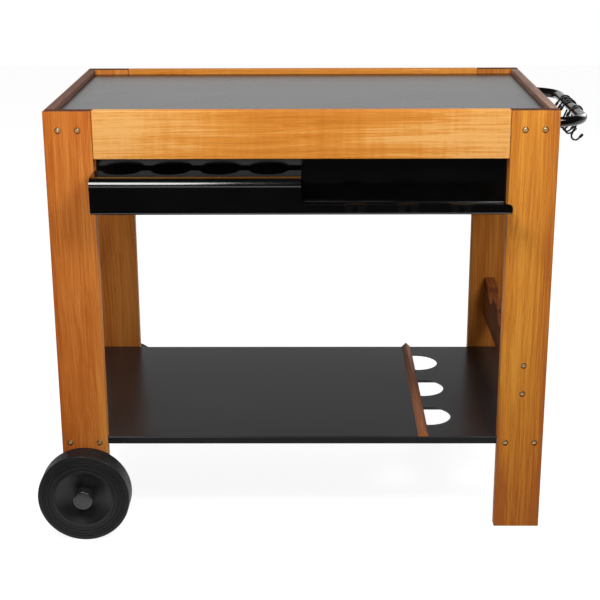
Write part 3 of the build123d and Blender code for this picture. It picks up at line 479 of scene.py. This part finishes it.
def coated_steel(name, colour, rough, peel=0.00004, peel_cells=750.0, smudge=0.02, fleck=0.12,
                 wiped=0.2, shine=0.5):
    """Powder-coated sheet: a fine orange-peel skin, faint wipe marks and a little dust."""
    g = Surface(name)
    point = g.place()
    skin = g.noise(point, peel_cells, rough=0.55)
    wipe = g.noise(g.stretch(point, wipe_cells), detail=3.0, bend=0.6)
    dust = g.maths("MULTIPLY", g.span(g.noise(point, dust_cells, detail=1.0), *dust_edge), fleck)
    body = g.blend(g.span(wipe, *wipe_edge, 0.0, wiped), colour,
                   lighter(colour, wiped_gain, wiped_lift))
    return g.finish(
        Base_Color=g.blend(dust, body, lighter(colour, dust_gain, dust_lift)),
        Roughness=g.span(wipe, *wipe_range, rough - smudge, rough + smudge),
        Specular_IOR_Level=shine,
        Normal=g.bump(skin, peel, peel_strength),
    )


# Plated and ground steel

crystal_cells = 900.0
crystal_dull = 0.1
tint_cells = 160.0
tint_edge = (0.35, 0.7)
rub_cells = (300.0, 2600.0, 300.0)
rub_dull = 0.1
rub_relief = 0.00004
rub_relief_strength = 0.4


def plated_steel(name, colour, other, rough, metal=1.0):
    """Zinc plate, clear or yellow: small crystals, a drifting tint and tool marks."""
    g = Surface(name)
    point = g.place()
    crystal = g.axes(g.cells(point, crystal_cells, colour=True))["X"]
    tint = g.span(g.noise(point, tint_cells, bend=0.8), *tint_edge)
    rub = g.noise(g.stretch(point, rub_cells))
    smooth = rough - (crystal_dull + rub_dull) / 2
    return g.finish(
        Base_Color=g.blend(tint, colour, other),
        Metallic=metal,
        Roughness=g.add_up(smooth, (crystal, crystal_dull), (rub, rub_dull)),
        Normal=g.bump(rub, rub_relief, rub_relief_strength),
    )


def dress_metal():
    """Sheets, handle, hooks, screws, bolts, nuts and the axle."""
    paint(coated_steel("coat_top_panel", tone(30, 30, 31), 0.27, peel=0.00002, smudge=0.005,
                       wiped=0.1, shine=0.58), "top_panel")
    paint(coated_steel("coat_shelf", tone(40, 39, 41), 0.26, peel_cells=900.0, smudge=0.008,
                       wiped=0.1, shine=0.35), "lower_shelf")
    paint(coated_steel("coat_tray", tone(3, 3, 3), 0.14, peel=0.00001, smudge=0.01, fleck=0.04,
                       shine=1.0), "front_tray")
    paint(coated_steel("coat_stiffeners", tone(26, 26, 27), 0.4),
          "panel_stiffeners", "shelf_stiffeners")
    paint(coated_steel("coat_handle", tone(10, 10, 11), 0.16, peel=0.00002), "handle")
    paint(coated_steel("coat_hooks", tone(14, 14, 15), 0.24, peel=0.00002, peel_cells=1500.0),
          "hook_1", "hook_2", "hook_3", "hook_4")
    paint(coated_steel("black_screws", tone(26, 25, 24), 0.4, peel_cells=1600.0),
          "tray_screws", "batten_screws")
    paint(plated_steel("plate_zinc", tone(196, 198, 200), tone(172, 176, 182), 0.34),
          "barrel_nuts", "panel_studs", "stud_nuts", "shelf_studs", "corner_brackets",
          "bracket_screws", "strip_screws", "axle_washers", "axle_clips", "handle_hanger_bolts")
    paint(plated_steel("plate_yellow", tone(255, 240, 192), tone(252, 216, 142), 0.28, metal=0.65),
          "leg_bolts")
    paint(plated_steel("ground_axle", tone(190, 190, 188), tone(160, 160, 160), 0.28), "axle")


# Rubber and plastic

groove_pitch = 0.0016
skin_cells = 1400.0
skin_relief_strength = 0.8
cloud_cells = 34.0
cloud_edge = (0.35, 0.75)
cloud_range = (0.3, 0.8)
cloud_dull = 0.05
bloom = 0.3
bloom_gain = 1.7
bloom_lift = 0.008
scuff = 0.2
scuff_cells = (120.0, 30.0, 120.0)
scuff_edge = (0.58, 0.72)


def moulded(name, colour, rough, centre, ring=0.0, relief=0.00006, shine=0.35):
    """Moulded rubber or plastic turned about the axle: tool rings, skin grain and a dull bloom."""
    g = Surface(name)
    point = g.place()
    flat = g.vector_maths("MULTIPLY", point, (1.0, 0.0, 1.0))
    spoke = g.vector_maths("SUBTRACT", flat, (centre.x, 0.0, centre.z))
    radius = g.vector_maths("LENGTH", spoke)
    groove = g.maths("SINE", g.maths("MULTIPLY", radius, 2 * pi / groove_pitch))
    skin = g.noise(point, skin_cells)
    cloud = g.noise(point, cloud_cells, detail=3.0, bend=0.5)
    scuffs = g.noise(g.stretch(point, scuff_cells), detail=4.0, rough=0.7)
    pale = lighter(colour, bloom_gain, bloom_lift)
    body = g.blend(g.maths("MULTIPLY", g.span(cloud, *cloud_edge), bloom), colour, pale)
    body = g.blend(g.maths("MULTIPLY", g.span(scuffs, *scuff_edge), scuff), body, pale)
    return g.finish(
        Base_Color=body,
        Roughness=g.span(cloud, *cloud_range, rough - cloud_dull, rough + cloud_dull),
        Specular_IOR_Level=shine,
        Normal=g.bump(g.add_up(skin, (groove, ring)), relief, skin_relief_strength),
    )


def dress_wheels():
    """Tyres, hubs and caps, and the small plugs and sleeves of the same stuff."""
    low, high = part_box("axle")
    centre = (low + high) / 2
    paint(moulded("rubber_tyre", tone(25, 25, 26), 0.46, centre, ring=1.6, shine=0.26),
          "wheel_tyre_front", "wheel_tyre_rear")
    paint(moulded("plastic_hub", tone(30, 30, 31), 0.36, centre, ring=0.4, relief=0.00003,
                  shine=0.3), "wheel_hub_front", "wheel_hub_rear")
    paint(moulded("plastic_cap", tone(38, 38, 39), 0.22, centre, ring=0.2, relief=0.00002,
                  shine=0.7), "hub_cap_front", "hub_cap_rear")
    paint(moulded("plastic_plug", tone(24, 24, 25), 0.5, centre), "handle_plugs")
    paint(moulded("rubber_sleeve", tone(18, 18, 19), 0.55, centre),
          "hook_sleeves_1", "hook_sleeves_2", "hook_sleeves_3", "hook_sleeves_4")


# Front tray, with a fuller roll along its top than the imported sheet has, in metres

tray_front_lean = radians(4.514)
tray_roll_packed = 0.011
tray_roll_seen = 0.020
tray_roll_slack = 0.0004
tray_turn_slack = 0.02
tray_step_clear = 0.05
tray_front_depth = 1.5 * tray_roll_packed


def add_rolled_tray():
    """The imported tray's sheet, with the bend between its front and its top flange opened out."""
    low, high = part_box("front_tray")
    mesh = nodes["front_tray"].data.copy()
    rolled_end = (low.x + high.x) / 2 - tray_step_clear
    left = [vertex.co for vertex in mesh.vertices if vertex.co.x < rolled_end]
    front = min(place.y for place in left)
    top = max(place.z for place in left if place.y < front + tray_front_depth)
    centre = Vector((0.0, front + tray_roll_packed, top - tray_roll_packed))
    grow = tray_roll_seen - tray_roll_packed
    back_shift = grow * (1 + sin(tray_front_lean)) / cos(tray_front_lean)
    for vertex in mesh.vertices:
        y = vertex.co.y - centre.y
        z = vertex.co.z - centre.z
        turn = atan2(z, -y)
        on_turn = -tray_front_lean - tray_turn_slack < turn < pi / 2 + tray_turn_slack
        on_sheet = tray_roll_packed / 2 < hypot(y, z) < tray_roll_packed + tray_roll_slack
        if on_turn and on_sheet:
            vertex.co.y += back_shift - grow * cos(turn)
            vertex.co.z += grow * (sin(turn) - 1)
    tray = bpy.data.objects.new("tray_sheet", mesh)
    bpy.context.scene.collection.objects.link(tray)
    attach(tray, "carcass")
    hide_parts("front_tray")


# Floor

paper_front = -0.62
paper_back = 7.0
paper_half = 7.0
paper_cells = 90.0
paper_tones = (tone(166, 166, 166), tone(170, 170, 170))
paper_places = (0.3, 0.7)
paper_glow = 0.9


def add_floor():
    """Pale paper that lifts to the backdrop's white and keeps the shadow."""
    mesh = bpy.data.meshes.new("floor")
    corners = [
        (-paper_half, paper_front, 0.0),
        (paper_half, paper_front, 0.0),
        (paper_half, paper_back, 0.0),
        (-paper_half, paper_back, 0.0),
    ]
    mesh.from_pydata(corners, [], [(0, 1, 2, 3)])
    floor = bpy.data.objects.new("floor", mesh)
    bpy.context.scene.collection.objects.link(floor)
    g = Surface("floor_paper")
    fleck = g.noise(g.place(), paper_cells, detail=3.0)
    g.finish(
        Base_Color=g.ramp(fleck, paper_places, paper_tones),
        Roughness=0.9,
        Specular_IOR_Level=0.1,
    )
    shown = g.maths("MAXIMUM", *g.rays())
    glow = g.add("ShaderNodeEmission")
    glow.inputs["Color"].default_value = white
    g.link(g.maths("MULTIPLY", shown, paper_glow), glow.inputs["Strength"])
    both = g.add("ShaderNodeAddShader")
    g.link(g.shader.outputs[0], both.inputs[0])
    g.link(glow.outputs[0], both.inputs[1])
    g.link(both.outputs[0], g.output.inputs[0])
    mesh.materials.append(g.material)


# Surroundings: where the backdrop seen in gloss begins and ends, as parts of a direction

backdrop_behind = (-0.1, 0.6)
backdrop_height = (0.2, 0.42)
backdrop_width = (0.1, 0.5)
backdrop_sides = 0.35
ambient = 0.18
dark_room = 0.025


def add_world():
    """White to look at; in gloss a lit backdrop behind the cart and a dark room around it."""
    world = bpy.data.worlds.new("studio")
    bpy.context.scene.world = world
    world.use_nodes = True
    g = Graph(world.node_tree)
    output = g.add("ShaderNodeOutputWorld")
    back = g.add("ShaderNodeBackground")
    way = g.axes(g.add("ShaderNodeTexCoord").outputs["Generated"])
    behind = g.span(way["Y"], *backdrop_behind)
    low = g.span(way["Z"], *backdrop_height, 1.0, 0.0)
    middle = g.span(g.maths("ABSOLUTE", way["X"]), *backdrop_width, 1.0, backdrop_sides)
    sweep = g.maths("MULTIPLY", g.maths("MULTIPLY", behind, low), middle)
    room = g.span(sweep, 0.0, 1.0, dark_room, 1.0, smooth=False)
    straight, mirrored = g.rays()
    in_gloss = g.maths("MULTIPLY", mirrored, g.maths("SUBTRACT", room, ambient))
    strength = g.add_up(ambient, (in_gloss, 1.0))
    g.link(g.maths("MAXIMUM", strength, straight), back.inputs["Strength"])
    back.inputs["Color"].default_value = white
    g.link(back.outputs[0], output.inputs[0])


# Softboxes: place, aim, width and height in metres, and watts

softboxes = {
    "left_box": ((-0.85, -1.45, 2.2), (-0.2, 0.0, 1.5), (1.1, 0.8), 27.5),
    "right_box": ((1.05, -1.45, 2.2), (0.2, 0.0, 1.5), (0.9, 0.8), 28.0),
    "low_box": ((-0.35, -2.1, 1.12), (-0.1, 0.0, 0.9), (1.3, 0.3), 1.6),
    "back_box": ((2.4, 2.6, 1.9), (0.0, 0.0, 0.5), (1.6, 1.4), 30.0),
}


def add_lights():
    """Soft lamps that the camera doesn't see."""
    for name, (place, aim, size, watts) in softboxes.items():
        data = bpy.data.lights.new(name, "AREA")
        data.shape = "RECTANGLE"
        data.size, data.size_y = size
        data.energy = watts
        lamp = bpy.data.objects.new(name, data)
        lamp.visible_camera = False
        bpy.context.scene.collection.objects.link(lamp)
        way = Vector(aim) - Vector(place)
        turn = way.to_track_quat("-Z", "Y").to_matrix().to_4x4()
        lamp.matrix_world = Matrix.Translation(place) @ turn


bpy.context.scene.view_settings.view_transform = "Standard"
add_camera()
dress_wood()
dress_metal()
dress_wheels()
add_rolled_tray()
add_floor()
add_world()
add_lights()
